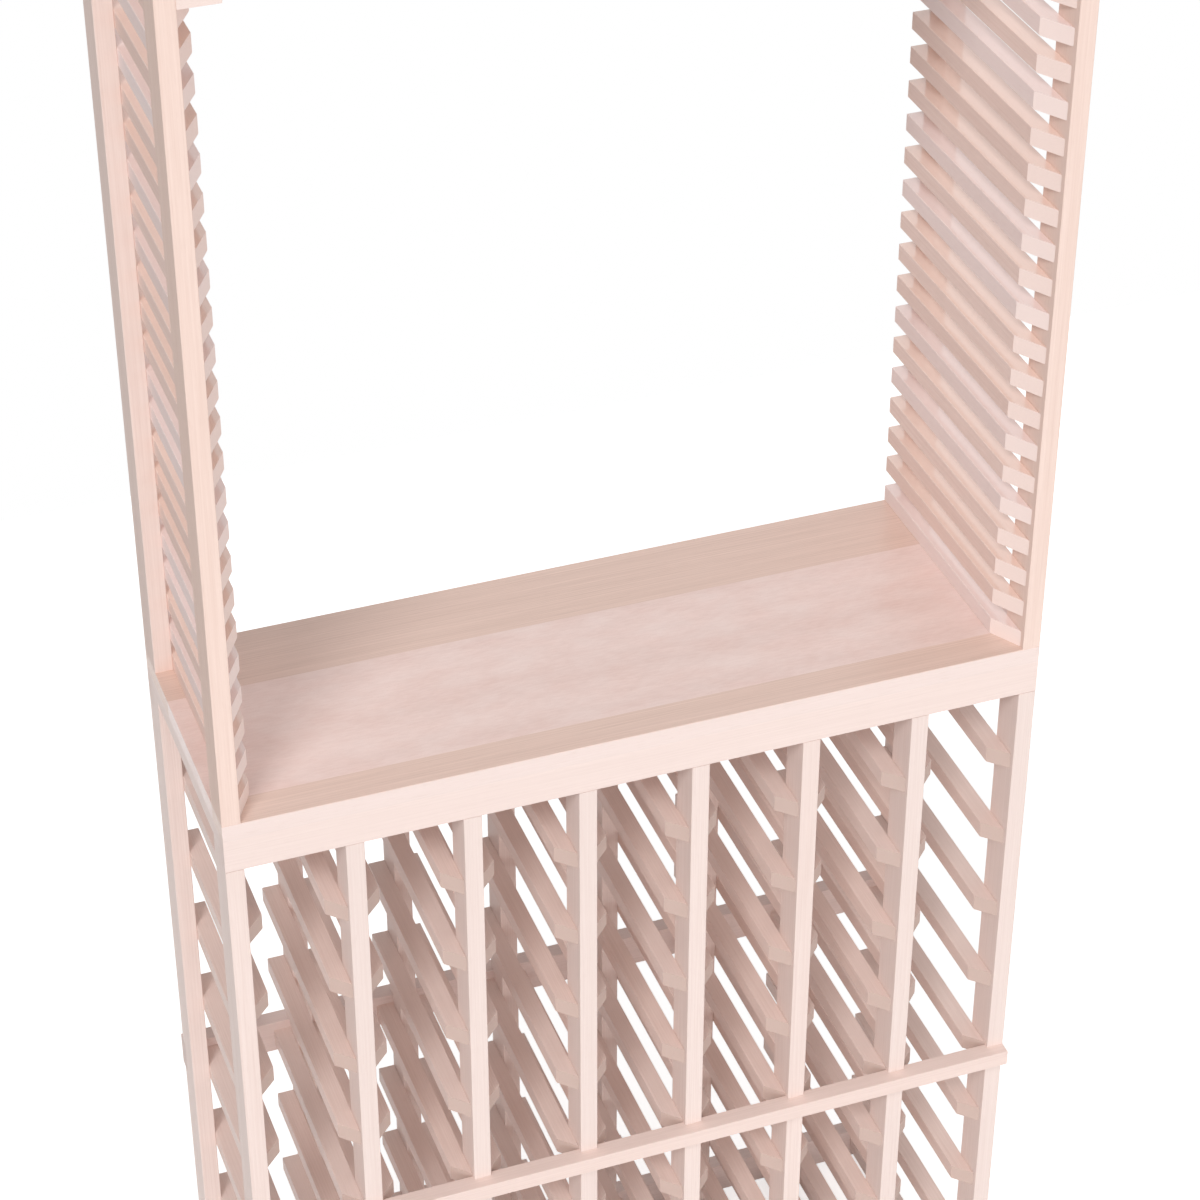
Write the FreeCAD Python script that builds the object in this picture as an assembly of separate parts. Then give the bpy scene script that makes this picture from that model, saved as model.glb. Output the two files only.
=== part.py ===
import FreeCAD, Part
import os

# Wooden wine tasting station: seven columns of open bays, a table at counter height, and an open
# upper section with slatted sides and a stemware rack.
# Millimetres. X to the right, Y to the back, Z up. The origin is on the floor, under the middle of
# the whole station, ledge bars and braces included.

Vector = FreeCAD.Vector
X_AXIS = Vector(1, 0, 0)
Y_AXIS = Vector(0, 1, 0)
Z_AXIS = Vector(0, 0, 1)
PARTS = "parts"

# Overall sizes
station_height = 1790.7
station_depth = 281.5
table_height = 914.4

# Timber: every strip and board is planed to one thickness, with its free edges eased
stock = 17.42
upright_depth = 37.7
arris = 0.5
joint_clearance = 0.15

# Bays of the base
column_count = 7
column_pitch = 111.1
row_pitch = 93.66
first_row_drop = 127.24
rail_front_setback = 5.5
rail_rear_setback = 2.9

# Ledge bars across the front and braces across the back
ledge_bar_height = 17.6
ledge_bar_proud = 12.6
ledge_bar_drop = 3.3
brace_height = 38.1
brace_let_in = 8.71

# Table
front_strip_depth = 35.35
rear_strip_depth = 84.9
fascia_height = 34.84

# Slatted sides
slat_height = 17.2
slat_pitch = 34.4
slat_front_setback = 6.5
slat_mitre_run = 30.0

# Stemware rack
stem_gap = 23.1
stemware_web_height = 65.0
stemware_screw_inset = 45.0

# Dowels between the posts and the table
dowel_diameter = 8.0
dowel_length = 30.0
dowel_chamfer = 1.0
dowel_places_share = (0.25, 0.75)

# Countersunk wood screws
screw_length = 32.0
screw_shank_diameter = 4.2
screw_head_diameter = 8.4
screw_tip_length = 5.0
screw_point_diameter = 0.6
recess_width = 1.1
recess_length = 4.6
recess_depth = 1.8
hole_clearance = 0.1
hole_end_clearance = 1.0
overrun = 1.0
parallel_share = 0.999

# Outer faces of the station
width = column_count * column_pitch + stock
left = -width / 2
right = width / 2
brace_proud = stock - brace_let_in
front = (ledge_bar_proud - station_depth - brace_proud) / 2
back = front + station_depth

# Levels
panel_underside = table_height - stock
bearer_underside = panel_underside - stock
fascia_underside = panel_underside - fascia_height
upper_top = station_height - stock
top_rail_underside = upper_top - fascia_height
web_underside = upper_top - stemware_web_height
stemware_underside = web_underside - stock

# Rows of rails, counted down from the table, as many as leave room for the lowest brace
brace_overhang = (brace_height - stock) / 2
first_row_underside = table_height - first_row_drop - stock
row_count = 1 + int((first_row_underside - brace_overhang) / row_pitch)
barred_rows = ((row_count + 1) // 2, row_count)
bar_names = ("upper", "lower")

# Side slats, counted up from the table, as many as fit under the stemware rack
slat_count = 1 + int((stemware_underside - table_height - slat_height) / slat_pitch)


def row_underside(row):
    return first_row_underside - (row - 1) * row_pitch


def upright_x(line):
    return left + line * column_pitch


def board(x, y, z, x_size, y_size, z_size):
    return Part.makeBox(x_size, y_size, z_size, Vector(x, y, z))


def mitred_strip(x, side, tip_y, mitre_run, end_y, z, height):
    """A strip lying front to back against a post's face at x, on the side +1 or -1 of it. Its front
    end is cut back from a tip at the post."""
    x_free = x + side * stock
    corners = [
        Vector(x, tip_y, z),
        Vector(x, end_y, z),
        Vector(x_free, end_y, z),
        Vector(x_free, tip_y + mitre_run, z),
    ]
    outline = Part.makePolygon(corners + corners[:1])
    return eased(Part.Face(outline).extrude(Z_AXIS * height), Y_AXIS)


def eased(shape, along, kept=lambda middle: True):
    """The shape with its arrises planed off on the edges that run along an axis. Edges where boards
    meet flush are left out by a test of the edge's middle point."""
    edges = []
    for edge in shape.Edges:
        runs_along = abs(edge.tangentAt(edge.FirstParameter).dot(along)) > parallel_share
        if runs_along and kept(edge.CenterOfMass):
            edges.append(edge)
    return shape.makeChamfer(arris, edges)


def cut_all(shape, cutters):
    for cutter in cutters:
        shape = shape.cut(cutter)
    return shape


def save(name, solids):
    shape = solids[0] if len(solids) == 1 else Part.makeCompound(solids)
    shape.exportStep(os.path.join(PARTS, name + ".step"))


# Screws and dowels

def driven(shape, start, direction):
    """Turns a shape made down from the origin to point along the direction, from the start."""
    turned = shape.copy()
    turned.Placement = FreeCAD.Placement(start, FreeCAD.Rotation(Vector(0, 0, -1), direction))
    return turned


def tapered_shaft(sections):
    """Stacks cones downwards from the origin, from a list of (radius, next radius, length)."""
    down = Vector(0, 0, -1)
    start = Vector(0, 0, 0)
    shaft = None
    for radius, next_radius, length in sections:
        if radius == next_radius:
            section = Part.makeCylinder(radius, length, start, down)
        else:
            section = Part.makeCone(radius, next_radius, length, start, down)
        shaft = section if shaft is None else shaft.fuse(section)
        start = start + down * length
    return shaft.removeSplitter()


def make_screw():
    head_radius = screw_head_diameter / 2
    shank_radius = screw_shank_diameter / 2
    head_height = head_radius - shank_radius
    shank_length = screw_length - head_height - screw_tip_length
    screw = tapered_shaft([
        (head_radius, shank_radius, head_height),
        (shank_radius, shank_radius, shank_length),
        (shank_radius, screw_point_diameter / 2, screw_tip_length),
    ])
    slot = board(-recess_length / 2, -recess_width / 2, -recess_depth,
                 recess_length, recess_width, recess_depth)
    cross_slot = board(-recess_width / 2, -recess_length / 2, -recess_depth,
                       recess_width, recess_length, recess_depth)
    return cut_all(screw, [slot, cross_slot])


def make_screw_hole():
    head_radius = screw_head_diameter / 2 + hole_clearance
    shank_radius = screw_shank_diameter / 2 + hole_clearance
    head_height = head_radius - shank_radius
    return tapered_shaft([
        (head_radius, shank_radius, head_height),
        (shank_radius, shank_radius, screw_length - head_height + hole_end_clearance),
    ])


def make_dowel():
    radius = dowel_diameter / 2
    dowel = Part.makeCylinder(radius, dowel_length, Vector(0, 0, -dowel_length / 2))
    rims = [edge for edge in dowel.Edges if edge.Closed]
    return dowel.makeChamfer(dowel_chamfer, rims)


def make_dowel_hole():
    radius = dowel_diameter / 2 + hole_clearance
    half_length = dowel_length / 2 + hole_end_clearance
    return Part.makeCylinder(radius, 2 * half_length, Vector(0, 0, -half_length))


def line_middle(line):
    return upright_x(line) + stock / 2


def brace_screw_places(row):
    z = row_underside(row) + stock / 2
    start_y = back + brace_proud
    return [(Vector(line_middle(line), start_y, z), Vector(0, -1, 0)) for line in range(column_count + 1)]


def top_panel_screw_places():
    inset = (stock + upright_depth) / 2
    places = []
    for line in range(column_count + 1):
        for y in (front + inset, back - inset):
            places.append((Vector(line_middle(line), y, station_height), Vector(0, 0, -1)))
    return places


def stemware_screw_places():
    """Up through the inner rails into their webs, and through the posts into the side rails."""
    places = []
    for line in range(1, column_count):
        for y in (front + stemware_screw_inset, back - stemware_screw_inset):
            places.append((Vector(line_middle(line), y, stemware_underside), Vector(0, 0, 1)))
    z = stemware_underside + stock / 2
    for y in (front + upright_depth / 2, back - upright_depth / 2):
        places.append((Vector(left, y, z), Vector(1, 0, 0)))
        places.append((Vector(right, y, z), Vector(-1, 0, 0)))
    return places


def dowel_places():
    places = []
    for x in (left + stock / 2, right - stock / 2):
        for post_front in (front, back - upright_depth):
            for share in dowel_places_share:
                places.append(Vector(x, post_front + upright_depth * share, table_height))
    return places


def screws_at(places):
    screw = make_screw()
    return [driven(screw, start, direction) for start, direction in places]


def screw_holes_at(places):
    hole = make_screw_hole()
    return [driven(hole, start, direction) for start, direction in places]


def moved_to(shape, places):
    copies = []
    for place in places:
        copy = shape.copy()
        copy.translate(place)
        copies.append(copy)
    return copies


def reaching(cutters, shape):
    """The cutters that meet the shape's box."""
    return [cutter for cutter in cutters if cutter.BoundBox.intersect(shape.BoundBox)]


# Notches that hold the boards running across the station

def front_notch(z, height, depth):
    return board(left - overrun, front - overrun, z - joint_clearance,
                 width + 2 * overrun, depth + overrun, height + 2 * joint_clearance)


def back_notch(z, height, depth):
    return board(left - overrun, back - depth, z - joint_clearance,
                 width + 2 * overrun, depth + overrun, height + 2 * joint_clearance)


def ledge_bar_underside(row):
    return row_underside(row) - ledge_bar_drop


def brace_underside(row):
    return row_underside(row) - brace_overhang


# Base: uprights, rails, ledge bars and braces

def save_uprights():
    front_cutters = [front_notch(fascia_underside, fascia_height, stock)]
    back_cutters = [back_notch(fascia_underside, fascia_height, stock)]
    for row in barred_rows:
        front_cutters.append(front_notch(ledge_bar_underside(row), ledge_bar_height, rail_front_setback))
        back_cutters.append(back_notch(brace_underside(row), brace_height, brace_let_in))
        back_cutters += screw_holes_at(brace_screw_places(row))
    for line in range(column_count + 1):
        x = upright_x(line)
        front_upright = eased(board(x, front, 0, stock, upright_depth, bearer_underside), Z_AXIS)
        back_upright = eased(
            board(x, back - upright_depth, 0, stock, upright_depth, bearer_underside), Z_AXIS)
        name = str(line + 1)
        save("base_front_upright_" + name, [cut_all(front_upright, reaching(front_cutters, front_upright))])
        save("base_rear_upright_" + name, [cut_all(back_upright, reaching(back_cutters, back_upright))])


def bottle_rail(x, side, row):
    end_y = back - rail_rear_setback
    if row in barred_rows:
        end_y = back - brace_let_in
    return mitred_strip(x, side, front + rail_front_setback, stock, end_y, row_underside(row), stock)


def save_bottle_rails():
    rows = range(1, row_count + 1)
    for column in range(column_count):
        left_face = upright_x(column) + stock
        right_face = upright_x(column + 1)
        name = "column_" + str(column + 1)
        save(name + "_left_rails", [bottle_rail(left_face, 1, row) for row in rows])
        save(name + "_right_rails", [bottle_rail(right_face, -1, row) for row in rows])


def save_ledge_bars_and_braces():
    for name, row in zip(bar_names, barred_rows):
        ledge_bar = board(left, front - ledge_bar_proud, ledge_bar_underside(row),
                          width, ledge_bar_proud + rail_front_setback, ledge_bar_height)
        save("front_ledge_bar_" + name, [eased(ledge_bar, X_AXIS)])
        brace = board(left, back - brace_let_in, brace_underside(row), width, stock, brace_height)
        brace = eased(brace, X_AXIS)
        save("rear_brace_" + name, [cut_all(brace, screw_holes_at(brace_screw_places(row)))])


# Table: fascias, bearers, and a top of two strips and a panel

def outer_top_edge(middle, shape):
    """Whether an edge's middle lies on the shape's top and on the station's front or back face."""
    centre = shape.CenterOfMass
    station_centre_y = (front + back) / 2
    outside = (middle.y - centre.y) * (centre.y - station_centre_y) > 0
    return outside and middle.z > centre.z


def fascia(y, z):
    """A board on edge across the station, eased below. It is flush with the board on top of it."""
    on_edge = board(left, y, z, width, stock, fascia_height)
    return eased(on_edge, X_AXIS, lambda middle: middle.z < on_edge.CenterOfMass.z)


def save_table():
    save("table_front_fascia", [fascia(front, fascia_underside)])
    save("table_rear_fascia", [fascia(back - stock, fascia_underside)])

    bearers = [
        board(upright_x(line), front + stock, bearer_underside, stock, station_depth - 2 * stock, stock)
        for line in range(column_count + 1)
    ]
    save("table_left_end_bearer", bearers[:1])
    save("table_inner_bearers", bearers[1:-1])
    save("table_right_end_bearer", bearers[-1:])

    panel_depth = station_depth - front_strip_depth - rear_strip_depth
    front_strip = board(left, front, panel_underside, width, front_strip_depth, stock)
    panel = board(left, front + front_strip_depth, panel_underside, width, panel_depth, stock)
    rear_strip = board(left, back - rear_strip_depth, panel_underside, width, rear_strip_depth, stock)
    holes = moved_to(make_dowel_hole(), dowel_places())
    front_strip = eased(front_strip, X_AXIS, lambda middle: outer_top_edge(middle, front_strip))
    rear_strip = eased(rear_strip, X_AXIS, lambda middle: outer_top_edge(middle, rear_strip))
    save("table_front_strip", [cut_all(front_strip, reaching(holes, front_strip))])
    save("table_panel", [cut_all(panel, reaching(holes, panel))])
    save("table_rear_strip", [cut_all(rear_strip, reaching(holes, rear_strip))])


# Upper section: posts, slats, top rails and top panel

def save_posts():
    cutters = [
        front_notch(top_rail_underside, fascia_height, stock),
        back_notch(top_rail_underside, fascia_height, stock),
    ]
    cutters += moved_to(make_dowel_hole(), dowel_places())
    cutters += screw_holes_at(top_panel_screw_places() + stemware_screw_places())
    for side, x in (("left", left), ("right", right - stock)):
        for end, y in (("front", front), ("rear", back - upright_depth)):
            post = eased(board(x, y, table_height, stock, upright_depth, upper_top - table_height), Z_AXIS)
            save("upper_" + end + "_post_" + side, [cut_all(post, reaching(cutters, post))])


def save_side_slats():
    tip_y = front + slat_front_setback
    for name, x, side in (("left", left + stock, 1), ("right", right - stock, -1)):
        slats = []
        for number in range(slat_count):
            z = table_height + number * slat_pitch
            slats.append(mitred_strip(x, side, tip_y, slat_mitre_run, back, z, slat_height))
        save("side_slats_" + name, slats)


def save_top():
    save("top_front_rail", [fascia(front, top_rail_underside)])
    save("top_rear_rail", [fascia(back - stock, top_rail_underside)])
    panel = board(left, front, upper_top, width, station_depth, stock)
    panel = eased(panel, X_AXIS, lambda middle: middle.z > upper_top)
    save("top_panel", [cut_all(panel, screw_holes_at(top_panel_screw_places()))])


# Stemware rack: webs under the top panel, and wide rails under them with narrow gaps between

def save_stemware_rack():
    notches = [
        front_notch(top_rail_underside, fascia_height, stock),
        back_notch(top_rail_underside, fascia_height, stock),
    ]
    screw_holes = screw_holes_at(top_panel_screw_places() + stemware_screw_places())
    half_rail = (column_pitch - stem_gap) / 2
    webs = []
    rails = []
    for line in range(1, column_count):
        web = board(upright_x(line), front, web_underside, stock, station_depth, stemware_web_height)
        rail = board(line_middle(line) - half_rail, front, stemware_underside,
                     2 * half_rail, station_depth, stock)
        rail = eased(rail, Y_AXIS)
        webs.append(cut_all(web, notches + reaching(screw_holes, web)))
        rails.append(cut_all(rail, reaching(screw_holes, rail)))
    save("stemware_webs", webs)
    save("stemware_inner_rails", rails)

    side_rail_width = half_rail - stock / 2
    for name, x in (("left", left + stock), ("right", right - stock - side_rail_width)):
        rail = eased(board(x, front, stemware_underside, side_rail_width, station_depth, stock), Y_AXIS)
        save("stemware_side_rail_" + name, [cut_all(rail, reaching(screw_holes, rail))])


# Fixings, each kind in one group

def save_fixings():
    brace_places = []
    for row in barred_rows:
        brace_places += brace_screw_places(row)
    save("rear_brace_screws", screws_at(brace_places))
    save("top_panel_screws", screws_at(top_panel_screw_places()))
    save("stemware_rail_screws", screws_at(stemware_screw_places()))
    save("post_dowels", moved_to(make_dowel(), dowel_places()))


os.makedirs(PARTS, exist_ok=True)
save_uprights()
save_bottle_rails()
save_ledge_bars_and_braces()
save_table()
save_posts()
save_side_slats()
save_top()
save_stemware_rack()
save_fixings()
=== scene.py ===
from math import radians

import bpy
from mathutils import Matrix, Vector


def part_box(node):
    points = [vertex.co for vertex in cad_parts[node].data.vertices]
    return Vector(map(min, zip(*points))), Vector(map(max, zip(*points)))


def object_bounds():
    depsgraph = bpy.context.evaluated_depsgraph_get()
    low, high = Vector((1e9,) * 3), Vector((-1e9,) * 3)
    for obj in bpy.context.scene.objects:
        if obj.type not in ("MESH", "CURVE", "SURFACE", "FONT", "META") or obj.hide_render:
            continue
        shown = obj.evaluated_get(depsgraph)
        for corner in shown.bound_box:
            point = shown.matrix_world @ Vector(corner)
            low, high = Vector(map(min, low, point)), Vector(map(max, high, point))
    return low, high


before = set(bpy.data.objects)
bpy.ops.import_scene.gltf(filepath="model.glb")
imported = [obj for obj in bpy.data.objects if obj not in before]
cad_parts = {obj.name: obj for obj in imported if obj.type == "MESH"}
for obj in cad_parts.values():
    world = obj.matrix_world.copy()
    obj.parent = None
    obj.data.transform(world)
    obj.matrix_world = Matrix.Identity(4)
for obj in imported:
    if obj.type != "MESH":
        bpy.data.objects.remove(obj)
cad_low, cad_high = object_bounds()


# Base uprights: sixteen pine sticks that stand on the floor and carry everything above them.
# They are ripped and planed to one section, notched for the boards that cross them, sanded,
# and given a thin pale wash that leaves the grain showing.

upright_low, upright_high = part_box("base_front_upright_1")
next_upright_low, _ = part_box("base_front_upright_2")
rear_upright_low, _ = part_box("base_rear_upright_1")
stock = upright_high.x - upright_low.x
column_pitch = next_upright_low.x - upright_low.x
column_count = 7
upright_lines = range(1, column_count + 2)

ALONG_X = (1.0, 0.0, 0.0)
ALONG_Y = (0.0, 1.0, 0.0)
ALONG_Z = (0.0, 0.0, 1.0)
diagonal = (1.0, 1.0, 1.0)
halfway = (0.5, 0.5, 0.5)


def add_node(tree, kind, inputs, **settings):
    """Adds a shader node. Each input, by name or number, is given a plain value or a link."""
    new = tree.nodes.new(kind)
    for name, value in settings.items():
        setattr(new, name, value)
    for name, value in inputs.items():
        if isinstance(value, bpy.types.NodeSocket):
            tree.links.new(value, new.inputs[name])
        else:
            new.inputs[name].default_value = value
    return new


def number(tree, operation, *values):
    """Arithmetic on plain numbers."""
    inputs = dict(enumerate(values))
    return add_node(tree, "ShaderNodeMath", inputs, operation=operation).outputs[0]


def vector(tree, operation, *values):
    """Arithmetic on places and directions."""
    inputs = dict(enumerate(values))
    return add_node(tree, "ShaderNodeVectorMath", inputs, operation=operation).outputs[0]


def along_axis(tree, position, axis):
    """How far a position lies along an axis, as a plain number."""
    inputs = {0: position, 1: axis}
    return add_node(tree, "ShaderNodeVectorMath", inputs, operation="DOT_PRODUCT").outputs[1]


def scaled(tree, value, factor):
    """A place or direction made longer or shorter."""
    inputs = {0: value, "Scale": factor}
    return add_node(tree, "ShaderNodeVectorMath", inputs, operation="SCALE").outputs[0]


def ramp(tree, value, start, end, low=0.0, high=1.0):
    """Goes from low to high while the value goes from start to end, and no further."""
    inputs = {"Value": value, "From Min": start, "From Max": end, "To Min": low, "To Max": high}
    return add_node(tree, "ShaderNodeMapRange", inputs).outputs[0]


def blended(tree, factor, first, second):
    """One colour mixed into another."""
    inputs = {0: factor, 6: first, 7: second}
    return add_node(tree, "ShaderNodeMix", inputs, data_type="RGBA").outputs[2]


def shade(red, green, blue):
    """A colour as a painter's chart gives it, 0 to 255, turned to the linear values of a shader."""
    channels = []
    for value in (red, green, blue):
        part = value / 255
        channels.append(part / 12.92 if part <= 0.04045 else ((part + 0.055) / 1.055) ** 2.4)
    return (*channels, 1.0)


def new_effect(name, inputs, outputs):
    """Starts a node group with named sockets. Returns its tree, its inputs and its output node."""
    tree = bpy.data.node_groups.new(name, "ShaderNodeTree")
    for socket, kind in inputs.items():
        tree.interface.new_socket(socket, in_out="INPUT", socket_type="NodeSocket" + kind)
    for socket, kind in outputs.items():
        tree.interface.new_socket(socket, in_out="OUTPUT", socket_type="NodeSocket" + kind)
    return tree, tree.nodes.new("NodeGroupInput").outputs, tree.nodes.new("NodeGroupOutput")


def make_stretched_fibre():
    """Noise drawn out along the board: Length and Width are the size of one streak."""
    tree, given, result = new_effect(
        "stretched fibre",
        {"Position": "Vector", "Along": "Vector", "Length": "Float", "Width": "Float"},
        {"Streak": "Float"},
    )
    distance = along_axis(tree, given["Position"], given["Along"])
    lengthwise = scaled(tree, given["Along"], distance)
    across = vector(tree, "SUBTRACT", given["Position"], lengthwise)
    place = vector(
        tree, "ADD",
        scaled(tree, lengthwise, number(tree, "DIVIDE", 1.0, given["Length"])),
        scaled(tree, across, number(tree, "DIVIDE", 1.0, given["Width"])),
    )
    streak = add_node(tree, "ShaderNodeTexNoise", {"Vector": place, "Scale": 1.0, "Detail": 2.0})
    tree.links.new(streak.outputs[0], result.inputs["Streak"])
    return tree


def make_board_variety():
    """Tells the boards of a group apart: every board lies in its own cell of a grid."""
    tree, given, result = new_effect(
        "board variety",
        {"Position": "Vector", "Cell corner": "Vector", "Cell size": "Vector"},
        {"Tone": "Float", "Seed": "Vector", "Place in cell": "Vector"},
    )
    from_corner = vector(tree, "SUBTRACT", given["Position"], given["Cell corner"])
    cell = vector(tree, "FLOOR", vector(tree, "DIVIDE", from_corner, given["Cell size"]))
    chance = add_node(tree, "ShaderNodeTexWhiteNoise", {"Vector": cell}, noise_dimensions="3D")
    cell_middle = vector(tree, "ADD", cell, halfway)
    cell_middle = vector(tree, "MULTIPLY", cell_middle, given["Cell size"])
    from_middle = vector(tree, "SUBTRACT", from_corner, cell_middle)
    tree.links.new(chance.outputs["Value"], result.inputs["Tone"])
    tree.links.new(chance.outputs["Color"], result.inputs["Seed"])
    tree.links.new(from_middle, result.inputs["Place in cell"])
    return tree


# Marks in the wood: the length and width of one in metres, and the noise values it fades between.
fine_line = (0.09, 0.0013)
fine_line_fade = (0.3, 0.7)
broad_band = (0.45, 0.008)
broad_band_fade = (0.25, 0.75)
short_dash = (0.016, 0.0007)
short_dash_fade = (0.6, 0.72)
cloud_patch = (0.35, 0.014)
cloud_patch_fade = (0.3, 0.7)
# Growth rings, and how far apart two boards may lie in the noise, in metres.
log_spread = 4.0
pith_distance = 0.06
ring_wander = 0.005
# How much of the figure each kind of mark makes, and how dark or grey a board can be.
line_share = 0.4
ring_share = 0.35
band_share = 0.25
figure_left_on_edge = 0.2
grey_board_fade = (0.4, 0.7)
darkest_board = 0.4
pore_darkness = 0.25
# Where a surface counts as a named edge, a cut end or an eased edge, by the way that it faces.
edge_fade = (0.5, 0.9)
cut_end_fade = (0.25, 0.45)
eased_edge_fade = (1.15, 1.3)
edge_wear = 0.15
# What the marks add to roughness, and how high they stand against the pores.
line_roughness = 0.1
end_roughness = 0.15
line_height = 0.6
ring_height = 0.3


def make_planed_pine():
    """Pale washed pine: growth rings about a pith outside the board, fine fibre, bands and pores."""
    tree, given, result = new_effect(
        "planed pine",
        {
            "Position": "Vector", "Facing": "Vector", "Along": "Vector",
            "Cell corner": "Vector", "Cell size": "Vector",
            "Light wood": "Color", "Dark wood": "Color", "Grey wood": "Color",
            "End wood and painted light": "Color", "End wood and light share": "Float", "Edge wood and painted top light": "Color",
            "Edge facing": "Vector", "Edge lacquer": "Float", "Fibre length": "Float",
            "Fibre width": "Float", "Ring width": "Float", "Figure": "Float", "Pale board": "Float",
            "Board spread": "Float", "Clouds": "Float", "Gloss roughness": "Float",
        },
        {"Colour": "Color", "Roughness": "Float", "Lacquer": "Float", "Relief": "Float"},
    )
    along = given["Along"]

    cells = {name: given[name] for name in ("Position", "Cell corner", "Cell size")}
    variety = add_node(tree, "ShaderNodeGroup", cells, node_tree=board_variety)
    tone = variety.outputs["Tone"]
    seed = variety.outputs["Seed"]
    own_place = vector(tree, "ADD", given["Position"], scaled(tree, seed, log_spread))

    def fibre(size):
        length = number(tree, "MULTIPLY", given["Fibre length"], size[0])
        width = number(tree, "MULTIPLY", given["Fibre width"], size[1])
        inputs = {"Position": own_place, "Along": along, "Length": length, "Width": width}
        return add_node(tree, "ShaderNodeGroup", inputs, node_tree=stretched_fibre).outputs["Streak"]

    lines = ramp(tree, fibre(fine_line), *fine_line_fade)
    bands = ramp(tree, fibre(broad_band), *broad_band_fade)
    pores = ramp(tree, fibre(short_dash), *short_dash_fade)
    clouds = ramp(tree, fibre(cloud_patch), *cloud_patch_fade)

    towards_pith = vector(tree, "NORMALIZE", vector(tree, "SUBTRACT", seed, halfway))
    pith_offset = scaled(tree, towards_pith, pith_distance)
    from_pith = vector(tree, "ADD", variety.outputs["Place in cell"], pith_offset)
    lengthwise = scaled(tree, along, along_axis(tree, from_pith, along))
    across = vector(tree, "SUBTRACT", from_pith, lengthwise)
    radius = add_node(tree, "ShaderNodeVectorMath", {0: across}, operation="LENGTH").outputs[1]
    wander = number(tree, "MULTIPLY", bands, ring_wander)
    half_ring = number(tree, "MULTIPLY", given["Ring width"], 0.5)
    rings = number(tree, "PINGPONG", number(tree, "ADD", radius, wander), half_ring)
    rings = number(tree, "DIVIDE", rings, half_ring)

    figure = number(
        tree, "ADD",
        number(tree, "MULTIPLY", lines, line_share),
        number(tree, "MULTIPLY", rings, ring_share),
    )
    figure = number(tree, "ADD", figure, number(tree, "MULTIPLY", bands, band_share))
    # Faces that look along Edge facing take the edge colour, with less figure and less board tone:
    # on the slat tops this is painted light.
    on_edge = ramp(tree, along_axis(tree, given["Facing"], given["Edge facing"]), *edge_fade)
    off_edge = ramp(tree, on_edge, 0.0, 1.0, 1.0, figure_left_on_edge)
    figure = number(tree, "MULTIPLY", figure, number(tree, "MULTIPLY", given["Figure"], off_edge))
    face_wood = blended(tree, on_edge, given["Light wood"], given["Edge wood and painted top light"])
    colour = blended(tree, figure, face_wood, given["Dark wood"])

    grey_chance = number(tree, "ADD", along_axis(tree, seed, ALONG_Y), given["Pale board"])
    grey_boards = ramp(tree, grey_chance, *grey_board_fade)
    greyness = number(tree, "MULTIPLY", grey_boards, given["Board spread"])
    colour = blended(tree, greyness, colour, given["Grey wood"])
    cloudiness = number(tree, "MULTIPLY", clouds, given["Clouds"])
    colour = blended(tree, cloudiness, colour, given["Grey wood"])
    darker = number(tree, "MULTIPLY", tone, given["Board spread"])
    darker = number(tree, "MULTIPLY", darker, darkest_board)
    darker = number(tree, "MULTIPLY", darker, off_edge)
    colour = blended(tree, darker, colour, given["Dark wood"])
    pore_shade = number(tree, "MULTIPLY", pores, pore_darkness)
    colour = blended(tree, pore_shade, colour, given["Dark wood"])

    # Cut ends take the end colour: darker end grain, partly painted shade on the rail mitres, and
    # painted light on the slat mitres.
    facing_along = number(tree, "ABSOLUTE", along_axis(tree, given["Facing"], along))
    end = ramp(tree, facing_along, *cut_end_fade)
    leaning = along_axis(tree, vector(tree, "ABSOLUTE", given["Facing"]), diagonal)
    edge = ramp(tree, leaning, *eased_edge_fade)
    edge = number(tree, "MULTIPLY", edge, number(tree, "SUBTRACT", 1.0, end))
    end_wood_and_light_cover = number(tree, "MULTIPLY", end, given["End wood and light share"])
    colour = blended(tree, end_wood_and_light_cover, colour, given["End wood and painted light"])
    worn_edge = number(tree, "MULTIPLY", edge, edge_wear)
    colour = blended(tree, worn_edge, colour, given["Light wood"])

    roughness = number(tree, "MULTIPLY", lines, line_roughness)
    roughness = number(tree, "ADD", given["Gloss roughness"], roughness)
    roughness = number(tree, "ADD", roughness, number(tree, "MULTIPLY", end, end_roughness))
    relief = number(tree, "SUBTRACT", number(tree, "MULTIPLY", lines, line_height), pores)
    relief = number(tree, "ADD", relief, number(tree, "MULTIPLY", rings, ring_height))
    lacquer = number(tree, "MULTIPLY", on_edge, given["Edge lacquer"])

    tree.links.new(colour, result.inputs["Colour"])
    tree.links.new(roughness, result.inputs["Roughness"])
    tree.links.new(lacquer, result.inputs["Lacquer"])
    tree.links.new(relief, result.inputs["Relief"])
    return tree


stretched_fibre = make_stretched_fibre()
board_variety = make_board_variety()
planed_pine = make_planed_pine()
lacquer_ior = 2.0


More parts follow.
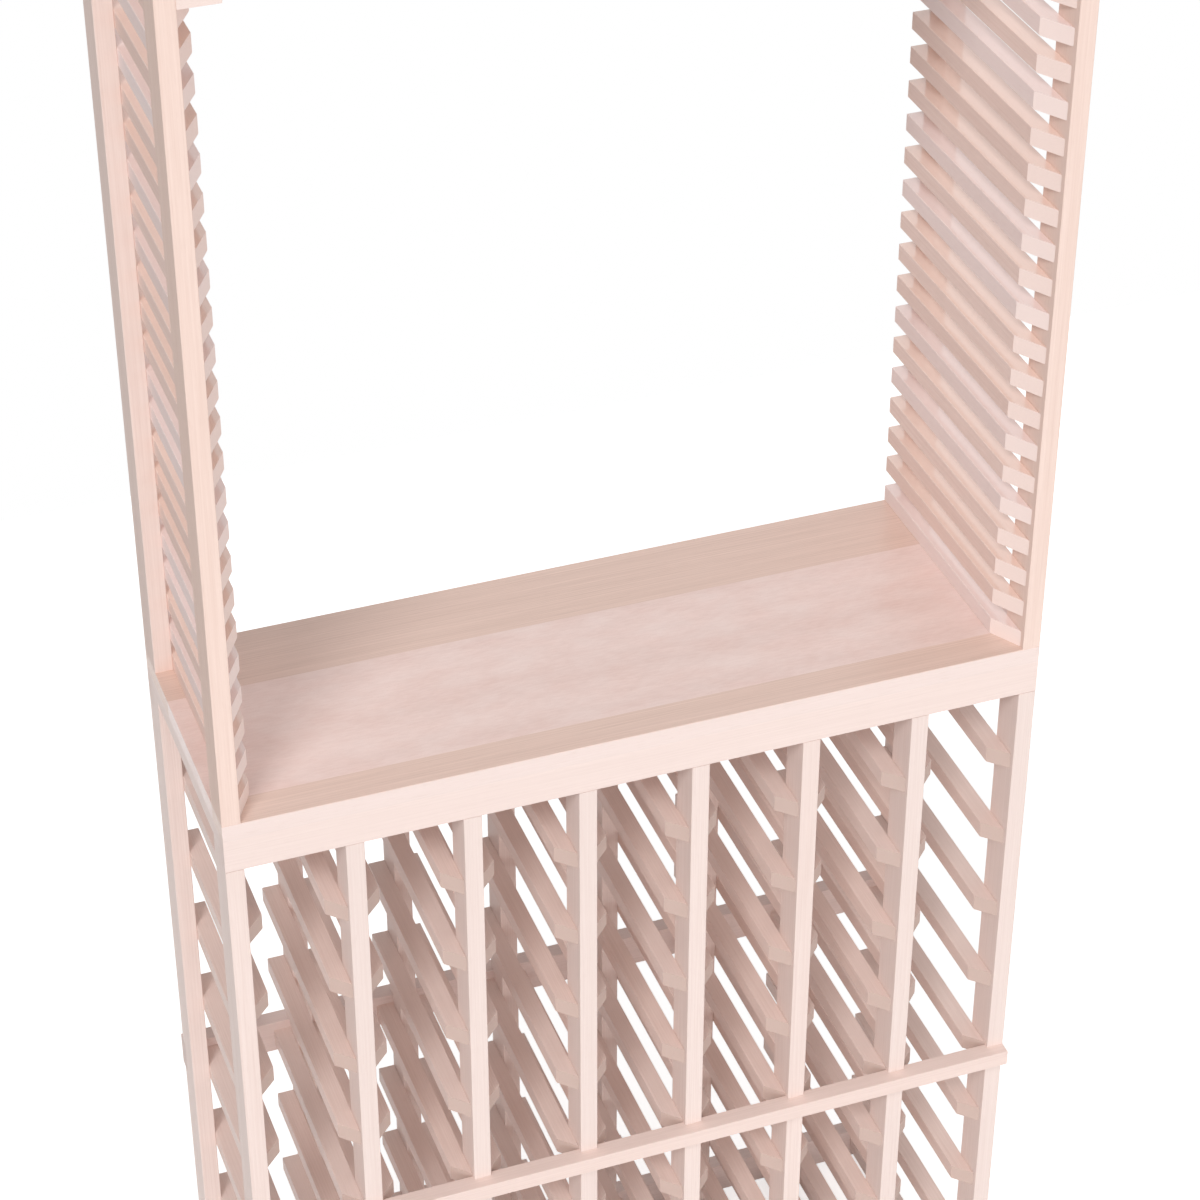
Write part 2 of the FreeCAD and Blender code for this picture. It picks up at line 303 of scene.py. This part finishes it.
def wood_finish(name, along, cell_corner, cell_size, light, dark, grey, end=(200, 175, 164),
                end_wood_and_light_share=0.05, edge=(255, 255, 255), edge_facing=(0.0, 0.0, 0.0), edge_lacquer=0.0,
                fibre_length=1.0, fibre_width=1.0, ring_width=0.0022, figure=0.5, spread=0.3,
                clouds=0.0, roughness=0.32, shine=0.06, relief=0.00004):
    """A pine finish with its own colours, laid on the shared planed pine. Faces that look along
    edge_facing take the colour and the lacquer of the edge, and on the slat tops that colour is
    painted light. Cut ends take the end colour: darker end grain on most finishes, partly painted
    shade on the rail mitres, and painted light on the slat mitres."""
    finish = bpy.data.materials.new(name)
    finish.use_nodes = True
    tree = finish.node_tree
    surface = tree.nodes["Principled BSDF"]
    surface.inputs["Specular IOR Level"].default_value = shine
    place = tree.nodes.new("ShaderNodeTexCoord").outputs
    inputs = {
        "Position": place["Object"], "Facing": place["Normal"], "Along": along,
        "Cell corner": cell_corner, "Cell size": cell_size,
        "Light wood": shade(*light), "Dark wood": shade(*dark), "Grey wood": shade(*grey),
        "End wood and painted light": shade(*end), "End wood and light share": end_wood_and_light_share,
        "Edge wood and painted top light": shade(*edge), "Edge facing": edge_facing, "Edge lacquer": edge_lacquer,
        "Fibre length": fibre_length, "Fibre width": fibre_width, "Ring width": ring_width,
        "Figure": figure, "Board spread": spread, "Clouds": clouds, "Gloss roughness": roughness,
    }
    pine = add_node(tree, "ShaderNodeGroup", inputs, node_tree=planed_pine, name="pine")
    bump = add_node(tree, "ShaderNodeBump", {"Height": pine.outputs["Relief"], "Distance": relief})
    tree.links.new(pine.outputs["Colour"], surface.inputs["Base Color"])
    tree.links.new(pine.outputs["Roughness"], surface.inputs["Roughness"])
    tree.links.new(bump.outputs["Normal"], surface.inputs["Normal"])
    if edge_lacquer > 0.0:
        surface.inputs["Coat IOR"].default_value = lacquer_ior
        surface.inputs["Coat Roughness"].default_value = roughness
        tree.links.new(pine.outputs["Lacquer"], surface.inputs["Coat Weight"])
    return finish


def dress(names, finish):
    """Puts a finish on CAD nodes in place of the plain one that they carry."""
    for name in names:
        for material_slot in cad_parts[name].material_slots:
            material_slot.material = finish


# Boards are told apart by cells of a grid. A cell this long, in metres, divides nothing that way.
undivided = 4.0
upright_cell = Vector((column_pitch, rear_upright_low.y - upright_low.y, undivided))
upright_corner = (upright_low + upright_high) / 2 - upright_cell / 2
upright_finish = wood_finish(
    "washed_pine_uprights", ALONG_Z, upright_corner, upright_cell,
    light=(250, 232, 225), dark=(228, 204, 195), grey=(240, 226, 221), figure=0.6, shine=0.02,
)
for end in ("front", "rear"):
    dress([f"base_{end}_upright_{line}" for line in upright_lines], upright_finish)


# Rails: short square strips, two to a bay, glued and pinned to the faces of the uprights. Each is
# cut square at the back and mitred at the front, so that nothing catches on its end.

columns = range(1, column_count + 1)
rail_row_pitch = 0.09366
rail_low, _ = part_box("column_1_left_rails")
rail_cell = Vector((column_pitch / 2, undivided, rail_row_pitch))
rail_corner = Vector((
    rail_low.x - stock / 2,
    -undivided / 2,
    rail_low.z + stock / 2 - rail_row_pitch / 2,
))
# The mitred ends take a much darker end colour: partly the darker end grain, and partly painted
# shade.
rail_finish = wood_finish(
    "washed_pine_rails", ALONG_Y, rail_corner, rail_cell,
    light=(247, 226, 218), dark=(222, 196, 185), grey=(236, 220, 214), end=(203, 178, 167),
    end_wood_and_light_share=0.7, spread=0.4,
)
for side in ("left", "right"):
    dress([f"column_{column}_{side}_rails" for column in columns], rail_finish)


# Ledge bars and rear braces: long strips that cross the base and tie the uprights together.
# The ledge bars are let into the fronts at two rows of rails. The braces are let into the backs at
# the same rows and screwed.

bar_low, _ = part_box("front_ledge_bar_upper")
lower_bar_low, lower_bar_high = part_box("front_ledge_bar_lower")
bar_cell = Vector((undivided, undivided, bar_low.z - lower_bar_low.z))
bar_corner = (lower_bar_low + lower_bar_high) / 2 - bar_cell / 2
bar_finish = wood_finish(
    "washed_pine_ledge_bars", ALONG_X, bar_corner, bar_cell,
    light=(248, 227, 219), dark=(229, 203, 193), grey=(238, 221, 214),
)
dress(["front_ledge_bar_upper", "front_ledge_bar_lower"], bar_finish)

brace_finish = wood_finish(
    "washed_pine_braces", ALONG_X, bar_corner, bar_cell,
    light=(240, 220, 214), dark=(216, 193, 185), grey=(226, 211, 206),
)
dress(["rear_brace_upper", "rear_brace_lower"], brace_finish)


# Wood screws: countersunk, cross-recessed, of steel with a thin zinc plating that has dulled a
# little. They hold the braces to the uprights, the top panel to what is under it, and the
# stemware rails to the webs and posts.

specks_per_metre = 900.0
speckle_fade = (0.3, 0.7)
speckle_height = 0.00004
bright_zinc = shade(202, 200, 190)
dull_zinc = shade(172, 170, 164)
zinc_roughness = (0.3, 0.48)

screw_finish = bpy.data.materials.new("zinc_plated_steel")
screw_finish.use_nodes = True
screw_tree = screw_finish.node_tree
screw_place = screw_tree.nodes.new("ShaderNodeTexCoord").outputs["Object"]
speckle_inputs = {"Vector": screw_place, "Scale": specks_per_metre, "Detail": 3.0}
speckle = add_node(screw_tree, "ShaderNodeTexNoise", speckle_inputs).outputs[0]
zinc_colour = blended(screw_tree, speckle, bright_zinc, dull_zinc)
zinc_gloss = ramp(screw_tree, speckle, *speckle_fade, *zinc_roughness)
zinc_bump = add_node(screw_tree, "ShaderNodeBump", {"Height": speckle, "Distance": speckle_height})
zinc_surface = screw_tree.nodes["Principled BSDF"]
zinc_surface.inputs["Metallic"].default_value = 1.0
screw_tree.links.new(zinc_colour, zinc_surface.inputs["Base Color"])
screw_tree.links.new(zinc_gloss, zinc_surface.inputs["Roughness"])
screw_tree.links.new(zinc_bump.outputs["Normal"], zinc_surface.inputs["Normal"])
dress(["rear_brace_screws", "top_panel_screws", "stemware_rail_screws"], screw_finish)


# Table frame: a fascia on edge along the front and another along the back, let into the uprights,
# and eight bearers that lie on the uprights between them and carry the table top. The two rails
# under the top panel are boards of the same kind.

fascia_low, fascia_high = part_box("table_front_fascia")
rear_fascia_low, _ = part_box("table_rear_fascia")
fascia_cell = Vector((undivided, rear_fascia_low.y - fascia_low.y, undivided))
fascia_corner = (fascia_low + fascia_high) / 2 - fascia_cell / 2
fascia_finish = wood_finish(
    "washed_pine_fascias", ALONG_X, fascia_corner, fascia_cell,
    light=(250, 231, 224), dark=(231, 209, 201), grey=(240, 226, 220), figure=0.45,
)
dress(["table_front_fascia", "table_rear_fascia", "top_front_rail", "top_rear_rail"], fascia_finish)

bearer_cell = Vector((column_pitch, undivided, undivided))
bearer_corner = (upright_low + upright_high) / 2 - bearer_cell / 2
bearer_finish = wood_finish(
    "washed_pine_bearers", ALONG_Y, bearer_corner, bearer_cell,
    light=(247, 227, 220), dark=(224, 200, 190), grey=(236, 221, 215),
)
dress(["table_left_end_bearer", "table_inner_bearers", "table_right_end_bearer"], bearer_finish)


# Table top: a wide panel between two strips of redder wood, all flush, glued edge to edge and
# lacquered to a soft shine. The panel is laid up from thin sheets, so its figure is short and
# clouded. The top panel is of the same sheet.

strip_low, strip_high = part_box("table_front_strip")
rear_strip_low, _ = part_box("table_rear_strip")
strip_cell = Vector((undivided, rear_strip_low.y - strip_low.y, undivided))
strip_corner = (strip_low + strip_high) / 2 - strip_cell / 2
to_the_front = (0.0, -1.0, 0.0)
strip_finish = wood_finish(
    "washed_pine_table_strips", ALONG_X, strip_corner, strip_cell,
    light=(247, 220, 207), dark=(218, 189, 175), grey=(234, 210, 200), edge=(246, 227, 221),
    edge_facing=to_the_front, figure=0.8, spread=0.2, roughness=0.18, shine=0.5,
)
dress(["table_front_strip", "table_rear_strip"], strip_finish)

panel_low, panel_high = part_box("table_panel")
panel_cell = Vector((undivided, undivided, undivided))
panel_corner = (panel_low + panel_high) / 2 - panel_cell / 2
panel_finish = wood_finish(
    "washed_pine_panels", ALONG_X, panel_corner, panel_cell,
    light=(254, 230, 223), dark=(232, 202, 193), grey=(255, 243, 239), fibre_length=0.12,
    fibre_width=1.8, ring_width=0.05, figure=0.8, spread=0.1, clouds=0.3, roughness=0.14, shine=0.5,
)
dress(["table_panel", "top_panel"], panel_finish)


# Upper posts: four sticks of the same section as the uprights, doweled to the table and notched at
# the top. Their wood is a shade warmer, and most so in the front pair.

post_low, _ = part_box("upper_front_post_left")
rear_post_low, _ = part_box("upper_rear_post_left")
post_cell = Vector((cad_high.x - cad_low.x, rear_post_low.y - post_low.y, undivided))
post_corner = Vector((cad_low.x - post_cell.x / 2, post_low.y - stock, post_low.z - undivided / 2))
post_finish = wood_finish(
    "washed_pine_posts", ALONG_Z, post_corner, post_cell,
    light=(251, 227, 216), dark=(231, 202, 189), grey=(242, 221, 212), figure=0.6, spread=0.12,
    shine=0.0,
)
dress(["upper_front_post_left", "upper_front_post_right"], post_finish)

rear_post_finish = wood_finish(
    "washed_pine_rear_posts", ALONG_Z, post_corner, post_cell,
    light=(250, 231, 223), dark=(230, 206, 196), grey=(241, 225, 218), figure=0.6, spread=0.12,
    shine=0.0,
)
dress(["upper_rear_post_left", "upper_rear_post_right"], rear_post_finish)

dowel_finish = wood_finish(
    "beech_dowels", ALONG_Z, post_corner, post_cell,
    light=(226, 190, 158), dark=(192, 148, 114), grey=(214, 180, 150), ring_width=0.0014,
    roughness=0.5,
)
dress(["post_dowels"], dowel_finish)


# Side slats: forty-six square strips glued and pinned to the inner faces of the posts, with about
# one slat's height of air between them. The front end is cut to a long mitre. Some are of browner
# and some of paler wood, and their tops are lacquered. The tops are also painted lighter than the
# sides, with little figure or board tone, and the mitred ends take a paler colour: painted light.

slat_pitch = 0.0344
slat_low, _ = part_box("side_slats_left")
slat_cell = Vector((cad_high.x - cad_low.x, undivided, slat_pitch))
slat_corner = Vector((cad_low.x - slat_cell.x / 2, -undivided / 2, slat_low.z - slat_pitch / 4))
pale_slats = {"left": (1, 3, 4, 8, 9, 13, 15, 18, 20), "right": (0, 4, 6, 10, 12, 16, 18, 21)}
same_slat = 0.5


def choose_pale_boards(finish, pale):
    """Says which slats, counted from the table up, are of paler wood, in place of a chance draw."""
    tree = finish.node_tree
    place = tree.nodes.new("ShaderNodeTexCoord").outputs["Object"]
    height = number(tree, "SUBTRACT", along_axis(tree, place, ALONG_Z), slat_corner.z)
    board = number(tree, "FLOOR", number(tree, "DIVIDE", height, slat_pitch))
    listed = 0.0
    for slat in pale:
        matches = number(tree, "COMPARE", board, float(slat), same_slat)
        listed = number(tree, "ADD", listed, matches)
    pale_board = ramp(tree, listed, 0.0, 1.0, -1.0, 1.0)
    tree.links.new(pale_board, tree.nodes["pine"].inputs["Pale board"])


for side in ("left", "right"):
    # The edge colour and faint figure on the tops, and the pale end colour on the mitres, are
    # painted light.
    slat_finish = wood_finish(
        f"washed_pine_slats_{side}", ALONG_Y, slat_corner, slat_cell,
        light=(254, 230, 221), dark=(232, 201, 189), grey=(255, 238, 235), end=(255, 236, 229),
        end_wood_and_light_share=0.65, edge=(255, 231, 219), edge_facing=ALONG_Z, edge_lacquer=1.0, figure=0.5,
        spread=0.9, roughness=0.1, shine=0.0,
    )
    choose_pale_boards(slat_finish, pale_slats[side])
    dress([f"side_slats_{side}"], slat_finish)


# Stemware rack: six webs on edge under the top panel, and wide rails screwed under them and to the
# posts, with narrow gaps between the rails. The lines of the webs are those of the uprights.

web_finish = wood_finish(
    "washed_pine_stemware", ALONG_Y, bearer_corner, bearer_cell,
    light=(253, 234, 227), dark=(235, 211, 201), grey=(245, 228, 221),
)
stemware_nodes = ["stemware_webs", "stemware_inner_rails", "stemware_side_rail_left",
                  "stemware_side_rail_right"]
dress(stemware_nodes, web_finish)


# Studio: a white floor that keeps a soft shadow, a pale room that is dimmer at the back left, and
# distant lamps: a key from the front left, above, and two low, soft panels, one at the front and a
# weaker one at the back, that are too large and even to show as a highlight. Angles are in degrees.

floor_size = 3.6
darkest_side = 0.24
brightest_side = 0.78
bright_way = Vector((0.81, -0.44, -0.38))
lamps = {
    "key_lamp": {
        "azimuth": -38.0, "elevation": 42.0, "spread": 18.0, "strength": 1.22, "mirrored": True,
    },
    "fill_lamp": {
        "azimuth": -10.0, "elevation": 12.0, "spread": 50.0, "strength": 0.75, "mirrored": False,
    },
    "back_lamp": {
        "azimuth": 180.0, "elevation": 6.0, "spread": 30.0, "strength": 0.5, "mirrored": False,
    },
}
floor_colour = shade(240, 240, 240)
floor_glow = 0.6

bpy.ops.object.select_all(action="DESELECT")
bpy.ops.mesh.primitive_plane_add(size=floor_size, location=(0.0, 0.0, 0.0))
floor = bpy.context.object
floor.name = "studio_floor"


def seen_rays(tree):
    """1 for what the camera sees, straight, mirrored or through a clear thing, and 0 for light."""
    rays = tree.nodes.new("ShaderNodeLightPath").outputs
    seen = number(tree, "MAXIMUM", rays["Is Camera Ray"], rays["Is Glossy Ray"])
    return number(tree, "MAXIMUM", seen, rays["Is Transmission Ray"])


floor_paint = bpy.data.materials.new("studio_floor_paint")
floor_paint.use_nodes = True
floor_tree = floor_paint.node_tree
floor_tree.nodes.remove(floor_tree.nodes["Principled BSDF"])
matt = add_node(floor_tree, "ShaderNodeBsdfDiffuse", {"Color": floor_colour})
glow_strength = number(floor_tree, "MULTIPLY", seen_rays(floor_tree), floor_glow)
glow = add_node(floor_tree, "ShaderNodeEmission", {"Strength": glow_strength})
both = add_node(floor_tree, "ShaderNodeAddShader", {0: matt.outputs[0], 1: glow.outputs[0]})
floor_tree.links.new(both.outputs[0], floor_tree.nodes["Material Output"].inputs["Surface"])
floor.data.materials.append(floor_paint)

room = bpy.data.worlds.new("studio_room")
bpy.context.scene.world = room
room.use_nodes = True
room_tree = room.node_tree
direction = room_tree.nodes.new("ShaderNodeTexCoord").outputs["Generated"]
room_light = ramp(
    room_tree, along_axis(room_tree, direction, bright_way), -1.0, 1.0, darkest_side, brightest_side,
)
room_strength = number(room_tree, "MAXIMUM", room_light, seen_rays(room_tree))
room_tree.links.new(room_strength, room_tree.nodes["Background"].inputs["Strength"])
room_tree.nodes["Background"].inputs["Color"].default_value = (1.0, 1.0, 1.0, 1.0)

for name, setting in lamps.items():
    lamp_data = bpy.data.lights.new(name, "SUN")
    lamp_data.energy = setting["strength"]
    lamp_data.angle = radians(setting["spread"])
    lamp = bpy.data.objects.new(name, lamp_data)
    lamp.visible_glossy = setting["mirrored"]
    bpy.context.scene.collection.objects.link(lamp)
    lamp.rotation_euler = (radians(90.0 - setting["elevation"]), 0.0, radians(setting["azimuth"]))


# Camera: it stands before the station, to the left and higher than the top, and looks down at the
# table through a long lens. Lengths of lens and film are in millimetres.

camera_place = (-0.8656, -2.3955, 2.7552)
camera_tilt = 55.0
camera_turn = -20.0
lens_length = 99.97
film_width = 36.0

camera_data = bpy.data.cameras.new("camera")
camera_data.lens = lens_length
camera_data.sensor_width = film_width
camera = bpy.data.objects.new("camera", camera_data)
bpy.context.scene.collection.objects.link(camera)
camera.location = camera_place
camera.rotation_euler = (radians(camera_tilt), 0.0, radians(camera_turn))
bpy.context.scene.camera = camera
bpy.context.scene.view_settings.view_transform = "Standard"
